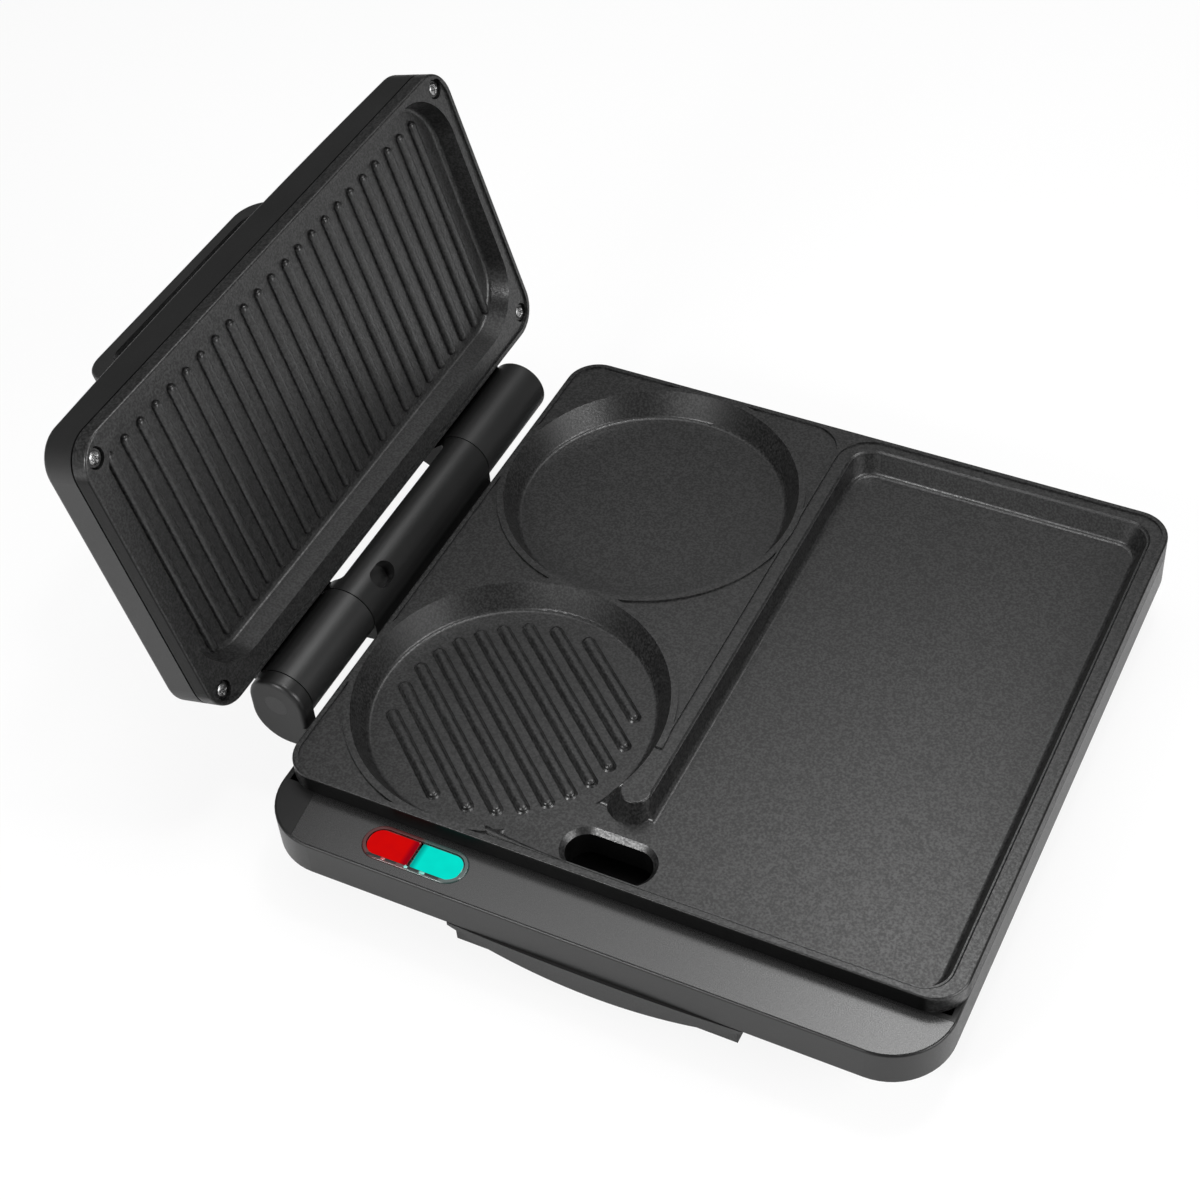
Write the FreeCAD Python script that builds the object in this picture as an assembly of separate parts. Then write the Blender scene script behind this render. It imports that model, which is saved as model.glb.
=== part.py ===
import FreeCAD, Part
import os
from math import cos, radians, sin, sqrt

os.makedirs("parts", exist_ok=True)
V = FreeCAD.Vector
Z_AXIS = V(0, 0, 1)
Y_AXIS = V(0, 1, 0)
X_AXIS = V(1, 0, 0)

# Clearances, mm
seat = 0.1             # flat pieces of one body laid against each other
running = 0.05         # hinge pin in its bores
slide_play = 0.35      # tray against its rails
knuckle_gap = 0.5      # between neighbouring hinge sections
screw_play = 0.15      # screw shank in its hole

# Cooking plate; x runs from its left edge, y from its front edge, z from its lip
plate_width = 273.0
plate_depth = 258.0
plate_corner = 14.0
plate_skirt = 8.0
plate_wall = 3.0
plate_round = 0.9
lip_width = 2.3
lip_height = 1.0
pad_allowance = 0.5
pad_corner = 15.5
fin_width = 0.7
divider_width = 6.2
pocket_depth = 11.0
pocket_round = 2.0
rim_round = 0.7

# Two round wells
well_margin = 2.25
well_slope = 5.6
well_shift = 0.55
well_closeness = 2.2
ring_width = 2.7

# Flat griddle and the front channel
griddle_rim = 6.9
griddle_front_rim = 4.2
griddle_corner = 10.5
griddle_draft = 2.0
griddle_slope = 4.0
ridge_tip_y = 44.0
ridge_foot_grow = 4.3
ridge_foot_left = 2.2
ridge_foot_back = 1.0
channel_inset = 20.0

# Drain
slot_length = 35.0
slot_width = 16.5
slot_offset = 5.7
slot_y = 18.9
slot_flare = 2.0
spout_wall = 1.8
spout_clearance = 0.6

# Sear ribs of the front well
rib_count = 10
rib_width = 4.5
rib_height = 2.0
rib_round = 1.8
rib_flare = 0.6
rib_inset = 8.2
rib_span_trim = 13.4
rib_angle_deg = -40.0

# Base housing
deck_depth = 23.2
deck_reach = 2.0
housing_corner = 25.0
housing_rear_corner = 14.0
housing_height = 16.0
housing_wall = 2.6
housing_round = 1.0
ledge_thickness = 2.0
tub_inset = 14.0
tub_corner = 16.0
tub_depth = 16.0
tub_wall = 2.4
cover_thickness = 2.4
foot_height = 4.6
foot_radius = 9.0
foot_inset = 26.0

# Front trim panel and indicator window
panel_thickness = 1.0
panel_margin = 0.9
panel_left = 15.0
panel_slant = 2.6
window_x = 65.0
window_y = -10.7
window_length = 43.5
window_width = 15.5
bezel_wall = 1.6
bezel_proud = 0.5
lens_proud = 0.9
lens_gap = 1.0
window_height = 4.0
lamp_radius = 2.5
lamp_length = 14.0
lamp_box_height = 6.8
lamp_box_wall = 1.4

# Drip tray and its bay
bay_left = 80.0
bay_side = 68.0
tray_front_trim = 6.0
tray_front_end = 1.5
tray_front_sag = 10.0
tray_bow = 1.4
tray_front_thickness = 2.6
tray_drop = 0.5
bay_depth = 81.2
tray_depth = 72.0
tray_wall = 1.6
tray_height = 8.5
tray_top_drop = 2.5
rail_width = 5.0
rail_length = 60.0
rail_thickness = 1.6
rail_leg = 7.0
rail_setback = 6.0
flange_overlap = 4.0

# Hinge; the axis runs along y, left of the plate
hinge_offset = 17.0
hinge_rise = 0.5
barrel_radius = 12.5
pin_radius = 3.0
hinge_front = 25.8
hinge_rear_inset = 27.5
ear_length = 6.7
ear_round = 2.2
knuckle_round = 1.5
middle_length = 97.0
pin_end_wall = 2.0
ear_foot = 21.5
ear_foot_round = 15.0
middle_foot = 13.0
middle_foot_round = 12.5
middle_arm = 2.6
relief_depth = 4.2
relief_margin = 5.5
relief_round = 2.5
cap_radius = 5.0
port_radius = 4.5
port_length = 13.0
port_offset = 16.5
port_angle_deg = 48.0
port_floor = 6.0
open_angle_deg = 104.8
stop_gap = 0.35
stop_width = 8.0

# Lid, drawn shut
lid_gap = 0.5
lid_skirt = 6.4
lid_seam = 0.8
lid_height = 21.0
lid_crown = 3.2
lid_wall = 2.4
lid_round = 2.5
recess_side_rim = 6.5
recess_hinge_rim = 9.0
recess_far_rim = 3.5
recess_depth = 10.0
recess_corner = 26.0
recess_draft = 2.6
recess_hinge_draft = 4.2
lid_rib_count = 23
lid_rib_margin = 20.32
lid_rib_inset = 16.0
lid_rib_width = 4.4
lid_rib_height = 1.9
lid_screw_inset = 8.2
lid_pocket_radius = 4.2
lid_pocket_depth = 4.2
lid_boss_radius = 5.6

# Handle
handle_setback = 22.5
handle_width = 20.0
handle_length = 120.0
handle_rise = 66.0
handle_bar = 7.0
handle_post = 9.0
handle_corner = 12.0
handle_inner_corner = 8.0
handle_round = 1.6

# Heaters, reflectors and wiring
heater_radius = 3.3
lid_heater_radius = 2.6
heater_bend = 18.0
heater_inset = 44.0
heater_end_gap = 40.0
bead_radius = 2.5
bead_length = 6.0
terminal_radius = 1.2
terminal_length = 6.0
reflector_thickness = 0.6
reflector_margin = 6.0
lead_radius = 1.3
lead_bend = 4.0
thermostat_inset = 73.0
thermostat_radius = 8.5
thermostat_height = 8.0
tab_length = 8.0
tab_width = 4.0
tab_thickness = 0.9
tab_spread = 5.0
fuse_radius = 2.6
fuse_length = 24.0
fuse_x = 150.0
block_x = 60.0
block_length = 30.0
block_depth = 18.0
block_height = 13.0
block_setback = 14.0
inlet_x = 75.0
inlet_radius = 5.5
inlet_flange = 7.0
inlet_bore = 3.5
inlet_collar = 3.0
clamp_length = 20.0
clamp_depth = 5.0
clamp_height = 11.0
clamp_setback = 4.0
wire_slot = 10.0

# Fixings
head_radius = 3.4
head_height = 2.2
shank_radius = 1.6
boss_radius = 4.6
boss_inset = 9.5
side_boss_inset = 9.0
side_boss_setback = 34.0
screw_grip = 8.0
small_head_radius = 2.4
small_head_height = 1.4
small_shank_radius = 1.1
cover_boss_radius = 5.5
cover_boss_inset = 5.0
cover_boss_height = 12.0
vent_length = 46.0
vent_width = 3.2
vent_pitch = 8.0
vent_count = 7

# Levels that follow from the sizes above
wall_top = -plate_skirt
wall_bottom = wall_top - housing_height
ledge_top = wall_bottom + ledge_thickness
tub_bottom = wall_bottom - tub_depth
cover_bottom = tub_bottom - cover_thickness
pan_bottom = -pocket_depth - plate_wall
pad_level = -lip_height
plate_middle = plate_depth / 2
pad_width = plate_middle + pad_allowance
well_radius = pad_width / 2 - well_margin
well_floor_radius = well_radius - well_slope
well_x = pad_width / 2 + well_shift
well_spacing = plate_middle - well_closeness
rib_circle = well_floor_radius - rib_inset
rib_pitch = (2 * rib_circle - rib_span_trim) / (rib_count - 1)
back_well_y = plate_middle + well_spacing / 2
front_well_y = plate_middle - well_spacing / 2
griddle_left = pad_width + divider_width
slot_x = griddle_left - slot_offset
axis_x = -hinge_offset
axis_z = hinge_rise
hinge_rear = plate_depth - hinge_rear_inset
middle_front = plate_middle - middle_length / 2
middle_rear = plate_middle + middle_length / 2
lid_rim = lid_gap
lid_shell_rim = lid_rim + lid_skirt + lid_seam
lid_edge_top = lid_rim + lid_height
lid_floor_back = lid_rim + recess_depth + plate_wall
lid_rib_length = pad_width - 2 * lid_rib_inset
lid_rib_pitch = (plate_depth - 2 * lid_rib_margin) / (lid_rib_count - 1)
handle_far_side = pad_width - handle_setback
thermostat_x = plate_width - thermostat_inset
bay_right = plate_width - bay_side
tray_x = (bay_left + bay_right) / 2
tray_front_width = bay_right - bay_left - tray_front_trim
bay_back = bay_depth - deck_depth
deck_bottom = wall_top - housing_wall
panel_bed = wall_top - panel_thickness
spout_length = slot_length + 2 * spout_wall
spout_width = slot_width + 2 * spout_wall
window_bottom = wall_top - window_height
heater_z = pan_bottom - seat - heater_radius
lid_heater_z = lid_floor_back + seat + lid_heater_radius
over = 1.0             # how far a cutting solid runs past the face it cuts


def rounded(x0, y0, x1, y1, front_left, front_right=None, back_right=None, back_left=None):
    a = front_left
    b = a if front_right is None else front_right
    c = a if back_right is None else back_right
    d = a if back_left is None else back_left
    k = sqrt(0.5)
    edges = [
        Part.LineSegment(V(x0 + a, y0, 0), V(x1 - b, y0, 0)).toShape(),
        Part.Arc(V(x1 - b, y0, 0), V(x1 - b + b * k, y0 + b - b * k, 0), V(x1, y0 + b, 0)).toShape(),
        Part.LineSegment(V(x1, y0 + b, 0), V(x1, y1 - c, 0)).toShape(),
        Part.Arc(V(x1, y1 - c, 0), V(x1 - c + c * k, y1 - c + c * k, 0), V(x1 - c, y1, 0)).toShape(),
        Part.LineSegment(V(x1 - c, y1, 0), V(x0 + d, y1, 0)).toShape(),
        Part.Arc(V(x0 + d, y1, 0), V(x0 + d - d * k, y1 - d + d * k, 0), V(x0, y1 - d, 0)).toShape(),
        Part.LineSegment(V(x0, y1 - d, 0), V(x0, y0 + a, 0)).toShape(),
        Part.Arc(V(x0, y0 + a, 0), V(x0 + a - a * k, y0 + a - a * k, 0), V(x0 + a, y0, 0)).toShape(),
    ]
    return Part.Wire(edges)


def capsule(x, y, length, width):
    r = width / 2
    h = length / 2 - r
    edges = [
        Part.LineSegment(V(x - h, y - r, 0), V(x + h, y - r, 0)).toShape(),
        Part.Arc(V(x + h, y - r, 0), V(x + h + r, y, 0), V(x + h, y + r, 0)).toShape(),
        Part.LineSegment(V(x + h, y + r, 0), V(x - h, y + r, 0)).toShape(),
        Part.Arc(V(x - h, y + r, 0), V(x - h - r, y, 0), V(x - h, y - r, 0)).toShape(),
    ]
    return Part.Wire(edges)


def lifted(wire, z):
    copy = wire.copy()
    copy.translate(V(0, 0, z))
    return copy


def prism(wire, z0, z1):
    return Part.Face(lifted(wire, z0)).extrude(V(0, 0, z1 - z0))


def slab(x0, y0, x1, y1, z0, z1, *corners):
    return prism(rounded(x0, y0, x1, y1, *corners), z0, z1)


def box(x0, y0, z0, x1, y1, z1):
    return Part.makeBox(x1 - x0, y1 - y0, z1 - z0, V(x0, y0, z0))


def loft(low, z_low, high, z_high):
    return Part.makeLoft([lifted(low, z_low), lifted(high, z_high)], True, True)


def rod(x, y, z0, z1, radius):
    return Part.makeCylinder(radius, z1 - z0, V(x, y, z0), Z_AXIS)


def rod_along_y(x, z, y0, y1, radius):
    return Part.makeCylinder(radius, y1 - y0, V(x, y0, z), Y_AXIS)


def rod_along_x(y, z, x0, x1, radius):
    return Part.makeCylinder(radius, x1 - x0, V(x0, y, z), X_AXIS)


def edges_at(shape, z):
    return [e for e in shape.Edges if abs(e.BoundBox.ZMin - z) < 1e-4 and abs(e.BoundBox.ZMax - z) < 1e-4]


def soften(shape, z, radius):
    return shape.makeFillet(radius, edges_at(shape, z))


def soften_end(shape, y, x_limit, radius):
    ends = [e for e in shape.Edges if abs(e.BoundBox.YMin - y) < 1e-4 and abs(e.BoundBox.YMax - y) < 1e-4]
    return shape.makeFillet(radius, [e for e in ends if e.BoundBox.XMin < x_limit])


def fused(shapes):
    return shapes[0].multiFuse(shapes[1:]).removeSplitter()


def outline_in_xz(points, y0, y1):
    wire = Part.makePolygon([V(x, y0, z) for x, z in points + points[:1]])
    return Part.Face(wire).extrude(V(0, y1 - y0, 0))


def tube(points, radius, bend):
    corners = [V(*p) for p in points]
    edges = []
    start = corners[0]
    for before, corner, after in zip(corners, corners[1:], corners[2:]):
        into = (before - corner).normalize()
        out = (after - corner).normalize()
        enter = corner + into * bend
        leave = corner + out * bend
        turn = corner + (into + out) * (bend * (1 - sqrt(0.5)))
        edges.append(Part.LineSegment(start, enter).toShape())
        edges.append(Part.Arc(enter, turn, leave).toShape())
        start = leave
    edges.append(Part.LineSegment(start, corners[-1]).toShape())
    first = (corners[1] - corners[0]).normalize()
    ring = Part.Wire([Part.makeCircle(radius, corners[0], first)])
    return Part.Wire(edges).makePipeShell([ring], True, False)


def screw(x, y, head_side, tip, radius_head, height_head, radius_shank):
    up = 1 if tip > head_side else -1
    head_end = head_side - up * height_head
    head = rod(x, y, min(head_side, head_end), max(head_side, head_end), radius_head)
    shank = rod(x, y, min(head_side, tip), max(head_side, tip), radius_shank)
    return head.fuse(shank).removeSplitter()


def well_pocket(y, grow, drop):
    cone = Part.makeCone(well_floor_radius + grow, well_radius + grow, pocket_depth + drop,
                         V(well_x, y, -pocket_depth - drop), Z_AXIS)
    cone = soften(cone, -pocket_depth - drop, pocket_round)
    mouth = well_radius + grow
    return cone.fuse(Part.makeCone(mouth - rim_round, mouth + rim_round, 2 * rim_round,
                                   V(well_x, y, -rim_round), Z_AXIS))


def sloped_pocket(x0, y0, x1, y1, corner, drop):
    d = griddle_slope
    top = rounded(x0, y0, x1, y1, corner)
    floor = rounded(x0 + griddle_draft, y0 + d, x1 - d, y1 - d, corner - rim_round)
    body = soften(loft(floor, -pocket_depth - drop, top, 0), -pocket_depth - drop, pocket_round)
    e = 2 * rim_round
    outer = rounded(x0 - e, y0 - e, x1 + e, y1 + e, corner + e)
    return body.fuse(loft(top, pad_level - rim_round, outer, pad_level + rim_round))


def griddle_pocket(grow, drop):
    return sloped_pocket(griddle_left - grow, griddle_front_rim - grow, plate_width - griddle_rim + grow,
                         plate_depth - griddle_rim + grow, griddle_corner + grow, drop)


def channel_pocket(grow, drop):
    left = well_x + channel_inset - grow
    right = griddle_left + 2 * griddle_corner
    corner = griddle_draft + pocket_round
    return sloped_pocket(left, griddle_front_rim - grow, right, ridge_tip_y + grow, corner, drop)


def ridge_tip():
    circle_x = well_x + sqrt(well_radius ** 2 - (ridge_tip_y - front_well_y) ** 2)
    radius = (griddle_left - circle_x) / 2
    x = (griddle_left + circle_x) / 2
    top = Part.Wire([Part.makeCircle(radius, V(x, ridge_tip_y, 0), Z_AXIS)])
    foot_centre = V(x - ridge_foot_left, ridge_tip_y + ridge_foot_back, 0)
    foot = Part.Wire([Part.makeCircle(radius + ridge_foot_grow, foot_centre, Z_AXIS)])
    return soften(loft(foot, -pocket_depth, top, pad_level), pad_level, rim_round)


def plate_pockets(grow, drop):
    return [well_pocket(back_well_y, grow, drop), well_pocket(front_well_y, grow, drop),
            griddle_pocket(grow, drop), channel_pocket(grow, drop)]


def well_ring(y):
    radius = well_radius + ring_width
    return rod(well_x, y, pad_level, over, radius)


def pad_steps():
    i = lip_width
    r = plate_corner - i
    left = pad_width - fin_width / 2
    right = pad_width + fin_width / 2
    back = plate_depth - i
    wells = slab(i, i, left, back, pad_level, over, r, pad_corner, pad_corner, r)
    griddle = slab(right, i, plate_width - i, back, pad_level, over, pad_corner, r, r, pad_corner)
    zones = wells.fuse(griddle).cut(well_ring(back_well_y)).cut(well_ring(front_well_y))
    tip_area = box(well_x + well_radius / 2, i, pad_level, right + pad_corner, front_well_y, over)
    return [zones, tip_area]


def sear_ribs():
    ribs = []
    for i in range(rib_count):
        offset = (i - (rib_count - 1) / 2) * rib_pitch
        half = sqrt(rib_circle ** 2 - offset ** 2)
        wire = capsule(0, offset, 2 * half, rib_width)
        bar = soften(prism(wire, -pocket_depth - over, -pocket_depth + rib_height),
                     -pocket_depth + rib_height, rib_round)
        foot = capsule(0, offset, 2 * (half + rib_flare), rib_width + 2 * rib_flare)
        bar = bar.fuse(loft(foot, -pocket_depth, wire, -pocket_depth + rib_flare))
        bar.rotate(V(0, 0, 0), Z_AXIS, rib_angle_deg)
        bar.translate(V(well_x, front_well_y, 0))
        ribs.append(bar)
    return ribs


def slot_cut():
    through = prism(capsule(slot_x, slot_y, slot_length, slot_width), ledge_top - 4 * over, 0)
    wide = capsule(slot_x, slot_y, slot_length + 2 * slot_flare, slot_width + 2 * slot_flare)
    flare = loft(capsule(slot_x, slot_y, slot_length, slot_width), -pocket_depth - slot_flare,
                 wide, -pocket_depth)
    return through.fuse(flare)


def spout():
    return prism(capsule(slot_x, slot_y, spout_length, spout_width), wall_bottom, -pocket_depth - over)


def spout_hole(z0, z1):
    wide = 2 * spout_clearance
    return prism(capsule(slot_x, slot_y, spout_length + wide, spout_width + wide), z0, z1)


def corner_bosses():
    return [(boss_inset, boss_inset), (boss_inset, plate_depth - boss_inset)]


def side_bosses():
    x = plate_width - side_boss_inset
    return [(x, side_boss_setback), (x, plate_depth - side_boss_setback)]


def plate_bosses():
    low = ledge_top + seat
    bosses = [rod(x, y, low, pad_level - plate_wall + over, boss_radius) for x, y in corner_bosses()]
    return bosses + [rod(x, y, low, pan_bottom + over, boss_radius) for x, y in side_bosses()]


def cooking_plate():
    block = soften(slab(0, 0, plate_width, plate_depth, wall_top, 0, plate_corner), 0, plate_round)
    w = plate_wall
    hollow = slab(w, w, plate_width - w, plate_depth - w, wall_top - over, pad_level - w, plate_corner - w)
    e = plate_round
    limit = slab(e, e, plate_width - e, plate_depth - e, pan_bottom - over, 0, plate_corner - e)
    pans = [pan.common(limit) for pan in plate_pockets(w, w)]
    body = fused([block.cut(hollow)] + pans + plate_bosses() + [spout()])
    body = body.cut(fused(plate_pockets(0, 0)))
    for step in pad_steps():
        body = body.cut(step)
    body = fused([body, ridge_tip()] + sear_ribs()).cut(slot_cut())
    for x, y in corner_bosses() + side_bosses():
        body = body.cut(rod(x, y, ledge_top - over, ledge_top + screw_grip, shank_radius + screw_play))
    return body


def plate_screws():
    tip = ledge_top + screw_grip - over
    spots = corner_bosses() + side_bosses()
    return Part.makeCompound([screw(x, y, wall_bottom, tip, head_radius, head_height, shank_radius)
                              for x, y in spots])


def housing_outline(inset):
    front = housing_corner - inset
    rear = housing_rear_corner - inset
    return rounded(inset, inset - deck_depth, plate_width - inset, plate_depth - inset,
                   front, front, rear, rear)


def tub_block(inset, bay_grow, z0, z1):
    i = tub_inset + inset
    whole = slab(i, i - deck_depth, plate_width - i, plate_depth - i, z0, z1, tub_corner - inset)
    bay = box(bay_left - bay_grow, -2 * deck_depth, z0 - over, bay_right + bay_grow, bay_back + bay_grow,
              z1 + over)
    return whole.cut(bay)


def panel_block(margin, z0, z1):
    back = margin - seat
    front = -2 * deck_depth
    lean = panel_slant * (back - front) / deck_depth
    left = panel_left - margin
    corners = [V(left, back, 0), V(left + lean, front, 0), V(plate_width, front, 0), V(plate_width, back, 0)]
    area = prism(Part.makePolygon(corners + corners[:1]), z0, z1)
    return area.common(prism(housing_outline(panel_margin - margin), z0, z1))


def hinge_profile(y0, y1, foot, r, arm_bottom):
    left = axis_x - barrel_radius
    right = axis_x + barrel_radius
    low = -foot
    k = r * (1 - sqrt(0.5))
    inner = housing_wall / 2
    top = wall_top - seat
    edges = [
        Part.Arc(V(right, y0, axis_z), V(axis_x, y0, axis_z + barrel_radius), V(left, y0, axis_z)),
        Part.LineSegment(V(left, y0, axis_z), V(left, y0, low + r)),
        Part.Arc(V(left, y0, low + r), V(left + k, y0, low + k), V(left + r, y0, low)),
        Part.LineSegment(V(left + r, y0, low), V(inner, y0, arm_bottom)),
        Part.LineSegment(V(inner, y0, arm_bottom), V(inner, y0, top)),
        Part.LineSegment(V(inner, y0, top), V(right, y0, top)),
        Part.LineSegment(V(right, y0, top), V(right, y0, axis_z)),
    ]
    return Part.Face(Part.Wire([e.toShape() for e in edges])).extrude(V(0, y1 - y0, 0))


def lid_port():
    hole = prism(capsule(0, 0, port_length, 2 * port_radius), port_floor, barrel_radius + over)
    hole.rotate(V(0, 0, 0), Z_AXIS, 90)
    hole.rotate(V(0, 0, 0), Y_AXIS, 90 - port_angle_deg)
    hole.translate(V(axis_x, middle_front + port_offset, axis_z))
    return hole


def swing(shape):
    shape.rotate(V(axis_x, 0, axis_z), Y_AXIS, -open_angle_deg)
    return shape


def open_stops():
    left = axis_x - barrel_radius
    low = axis_z - relief_depth
    high = axis_z + stop_width
    stops = []
    for y in (middle_front, middle_rear - relief_margin):
        pad = swing(box(-stop_gap - stop_width, y, lid_shell_rim + lid_round, -stop_gap, y + relief_margin,
                        lid_edge_top - lid_round))
        points = [(axis_x, low), (left, low), (left - stop_width, axis_z), (left, high), (axis_x, high)]
        web = outline_in_xz(points, y, y + relief_margin)
        stops.append(pad.fuse(web))
    return stops


def middle_barrel():
    body = hinge_profile(middle_front, middle_rear, middle_foot, middle_foot_round, wall_top - middle_arm)
    flat = axis_x - relief_depth
    relief = slab(flat - 2 * barrel_radius, middle_front + relief_margin, flat, middle_rear - relief_margin,
                  -2 * barrel_radius, 2 * barrel_radius, relief_round)
    return body.cut(relief).cut(lid_port())


def front_ear():
    profile = hinge_profile(hinge_front, hinge_front + ear_length, ear_foot, ear_foot_round, -ear_foot)
    ear = soften_end(profile, hinge_front, axis_x + barrel_radius - seat, ear_round)
    return ear.cut(rod_along_y(axis_x, axis_z, hinge_front - over, hinge_front + pin_end_wall, cap_radius))


def pin_bore():
    return rod_along_y(axis_x, axis_z, hinge_front, hinge_rear - pin_end_wall, pin_radius + running)


def cover_boss_spots():
    left = tub_inset + tub_wall + cover_boss_inset
    right = plate_width - left
    front = tub_inset - deck_depth + tub_wall + cover_boss_inset
    back = plate_depth - left
    return [(x, y) for x in (left, right) for y in (front, plate_middle, back)]


def base_housing():
    shell = soften(prism(housing_outline(0), wall_bottom, wall_top), wall_top, housing_round)
    inner = prism(housing_outline(housing_wall), ledge_top, wall_top + over)
    deck = box(0, -2 * deck_depth, deck_bottom, plate_width, deck_reach, wall_top + 2 * over)
    body = shell.cut(inner.cut(deck))
    body = fused([body, tub_block(0, 0, tub_bottom, wall_bottom + over), middle_barrel(), front_ear()]
                 + open_stops())
    body = body.cut(tub_block(tub_wall, tub_wall, tub_bottom - over, ledge_top + over))
    bosses = [rod(x, y, tub_bottom, tub_bottom + cover_boss_height, cover_boss_radius)
              for x, y in cover_boss_spots()]
    walls = tub_block(seat, 0, tub_bottom, ledge_top)
    body = fused([body] + [b.common(walls) for b in bosses])
    body = body.cut(panel_block(seat, panel_bed, wall_top + over))
    window = capsule(window_x, window_y, window_length + 2 * seat, window_width + 2 * seat)
    body = body.cut(prism(window, deck_bottom - over, wall_top + over))
    body = body.cut(spout_hole(wall_bottom - over, ledge_top + over))
    body = body.cut(pin_bore())
    for x, y in corner_bosses() + side_bosses():
        body = body.cut(rod(x, y, wall_bottom - over, ledge_top + over, shank_radius + screw_play))
    for x, y in cover_boss_spots():
        body = body.cut(rod(x, y, tub_bottom - over, tub_bottom + screw_grip, shank_radius + screw_play))
    inlet_y = plate_depth - tub_inset
    body = body.cut(rod_along_y(inlet_x, inlet_level(), inlet_y - tub_wall - over, inlet_y + over,
                                inlet_radius + seat))
    for shape in rail_screw_bodies(screw_play):
        body = body.cut(shape)
    return body


def inlet_level():
    return (wall_bottom + tub_bottom) / 2


def bottom_cover():
    body = tub_block(0, 0, cover_bottom, tub_bottom - seat)
    for x, y in cover_boss_spots():
        body = body.cut(rod(x, y, cover_bottom - over, tub_bottom, shank_radius + screw_play))
    for i in range(vent_count):
        y = plate_middle + (i - (vent_count - 1) / 2) * vent_pitch
        vent = capsule(thermostat_x, y, vent_length, vent_width)
        body = body.cut(prism(vent, cover_bottom - over, tub_bottom))
    return body


def cover_screws():
    tip = tub_bottom + screw_grip - over
    return Part.makeCompound([screw(x, y, cover_bottom, tip, head_radius, head_height, shank_radius)
                              for x, y in cover_boss_spots()])


def feet():
    low = cover_bottom - foot_height
    spots = [(x, y) for x in (tub_inset + foot_inset, plate_width - tub_inset - foot_inset)
             for y in (tub_inset - deck_depth + foot_inset, plate_depth - tub_inset - foot_inset)]
    return Part.makeCompound([soften(rod(x, y, low, cover_bottom, foot_radius), low, plate_round)
                              for x, y in spots])


def front_panel():
    sheet = panel_block(0, panel_bed, wall_top)
    window = capsule(window_x, window_y, window_length + 2 * seat, window_width + 2 * seat)
    return sheet.cut(prism(window, panel_bed - over, wall_top + over))


def lens_bezel():
    ring = soften(prism(capsule(window_x, window_y, window_length, window_width), window_bottom,
                        wall_top + bezel_proud), wall_top + bezel_proud, bezel_proud)
    hole = capsule(window_x, window_y, window_length - 2 * bezel_wall, window_width - 2 * bezel_wall)
    return ring.cut(prism(hole, window_bottom - over, wall_top + over + bezel_proud))


def lens(side):
    inner = 2 * bezel_wall + 2 * seat
    top = wall_top + lens_proud
    wire = capsule(window_x, window_y, window_length - inner, window_width - inner)
    body = prism(wire, window_bottom, top)
    near = window_x + side * lens_gap / 2
    far = window_x + side * window_length
    body = body.common(box(min(near, far), -deck_depth, window_bottom, max(near, far), 0, top))
    return soften(body, top, bezel_proud)


def lamp_box_bottom():
    return window_bottom - seat - lamp_box_height


def lamp_holder():
    half = window_length / 2
    side = window_width / 2 - lamp_box_wall / 2
    low = lamp_box_bottom()
    body = box(window_x - half, window_y - side, low, window_x + half, window_y + side,
               window_bottom - seat)
    w = lamp_box_wall
    for sign in (-1, 1):
        centre = window_x + sign * half / 2
        reach = half / 2 - w
        body = body.cut(box(centre - reach, window_y - side + w, low + w, centre + reach,
                            window_y + side - w, window_bottom))
    return body


def lamp(side):
    x = window_x + side * window_length / 4
    z = lamp_box_bottom() + lamp_box_wall + seat + lamp_radius
    return rod_along_x(window_y, z, x - lamp_length / 2, x + lamp_length / 2, lamp_radius)


def heater_path(left, right, front, back, middle, z):
    gap = heater_end_gap / 2
    return [(left, middle - gap, z), (left, front, z), (right, front, z), (right, back, z), (left, back, z),
            (left, middle + gap, z)]


def base_heater():
    right = plate_width - heater_inset
    back = plate_depth - heater_inset
    path = heater_path(heater_inset, right, heater_inset, back, plate_middle, heater_z)
    return tube(path, heater_radius, heater_bend)


def terminals(x, middle, z):
    pieces = []
    for sign in (-1, 1):
        y = middle + sign * (heater_end_gap / 2 - seat)
        bead_end = y - sign * bead_length
        pin_end = bead_end - sign * terminal_length
        bead = rod_along_y(x, z, min(y, bead_end), max(y, bead_end), bead_radius)
        pin = rod_along_y(x, z, min(bead_end, pin_end), max(bead_end, pin_end), terminal_radius)
        pieces.append(bead.fuse(pin).removeSplitter())
    return Part.makeCompound(pieces)


def pin_end_offset():
    return heater_end_gap / 2 - bead_length - terminal_length - 2 * seat - lead_radius


def base_reflector():
    m = reflector_margin
    low = ledge_top + seat
    sheet = slab(m, m, plate_width - m, plate_depth - m, low, low + reflector_thickness, plate_corner - m)
    for x, y in corner_bosses() + side_bosses():
        sheet = sheet.cut(rod(x, y, low - over, 0, boss_radius + spout_clearance))
    sheet = sheet.cut(spout_hole(low - over, 0))
    sheet = sheet.cut(rod(thermostat_x, thermostat_y(), low - over, 0, thermostat_radius + over))
    h = wire_slot / 2
    return sheet.cut(box(heater_inset - h, plate_middle - heater_end_gap / 2, low - over, heater_inset + h,
                         plate_middle + heater_end_gap / 2, 0))


def thermostat_y():
    return plate_middle + pin_end_offset()


def thermostat():
    top = pan_bottom - seat
    low = top - thermostat_height
    body = rod(thermostat_x, thermostat_y(), low, top, thermostat_radius)
    tabs = []
    for sign in (-1, 1):
        x = thermostat_x + sign * tab_spread
        tabs.append(box(x - tab_thickness / 2, thermostat_y() - tab_width / 2, low - tab_length,
                        x + tab_thickness / 2, thermostat_y() + tab_width / 2, low))
    return fused([body] + tabs)


def tab_level():
    return pan_bottom - seat - thermostat_height - tab_length + lead_radius + over


def block_y():
    return plate_depth - tub_inset - tub_wall - block_setback - block_depth / 2


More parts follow.
